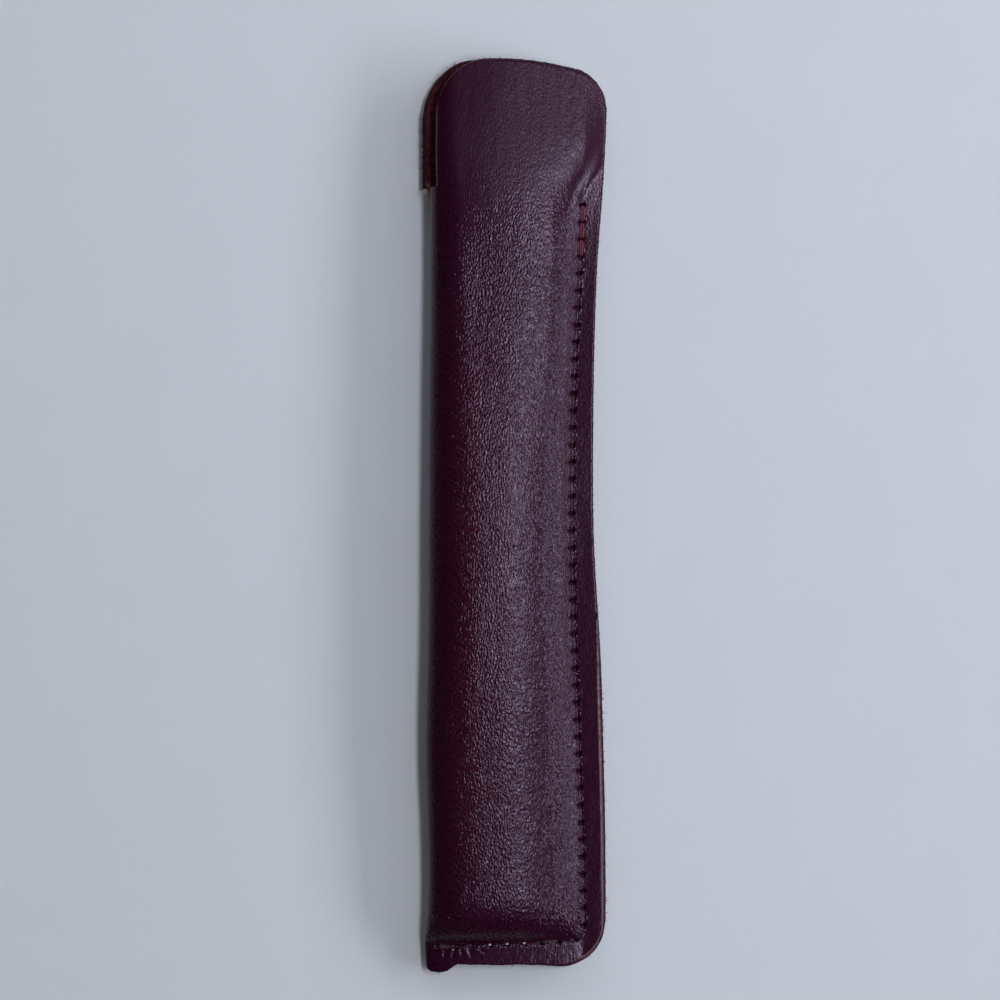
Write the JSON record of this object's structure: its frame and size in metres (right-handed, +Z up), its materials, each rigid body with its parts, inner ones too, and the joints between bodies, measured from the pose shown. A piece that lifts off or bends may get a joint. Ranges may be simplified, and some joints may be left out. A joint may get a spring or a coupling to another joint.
{
  "type": "leather pen sleeve",
  "caption": "Slim leather sleeve for one fountain pen, folded from one blank, sewn down one side and across the bottom, with two free rounded lips at its mouth.",
  "frame": {"origin": "under the middle of the sleeve's outline, on the surface that it lies on", "axes": "+X across to the sewn side, +Y along the sleeve to its mouth, +Z up through the front"},
  "size_m": [0.0324, 0.1606, 0.0096],
  "materials": {
    "leather_outer": "oxblood full-grain calf, fine pebbled grain, waxed semi-gloss",
    "leather_flesh": "raw flesh side and cut edges, fibrous and matt",
    "thread": "twisted polyester sewing thread, brick red"
  },
  "bodies": {
    "pouch": {"front_panel": "leather_outer", "back_panel": "leather_outer", "spine_fold": "leather_outer", "needle_thread": "thread", "bobbin_thread": "thread"},
    "front_lip": {"front_lip": "leather_outer"},
    "back_lip": {"back_lip": "leather_outer"}
  },
  "joints": [
    {"name": "front_lip_bend", "type": "hinge", "parent": "pouch", "child": "front_lip", "pos_m": [0, 0.0576, 0.0082], "axis": [1, 0, 0], "range_deg": [0, 30], "stiffness_Nm_per_rad": 0.004},
    {"name": "back_lip_bend", "type": "hinge", "parent": "pouch", "child": "back_lip", "pos_m": [0, 0.0576, 0], "axis": [-1, 0, 0], "range_deg": [0, 40], "stiffness_Nm_per_rad": 0.004}
  ]
}
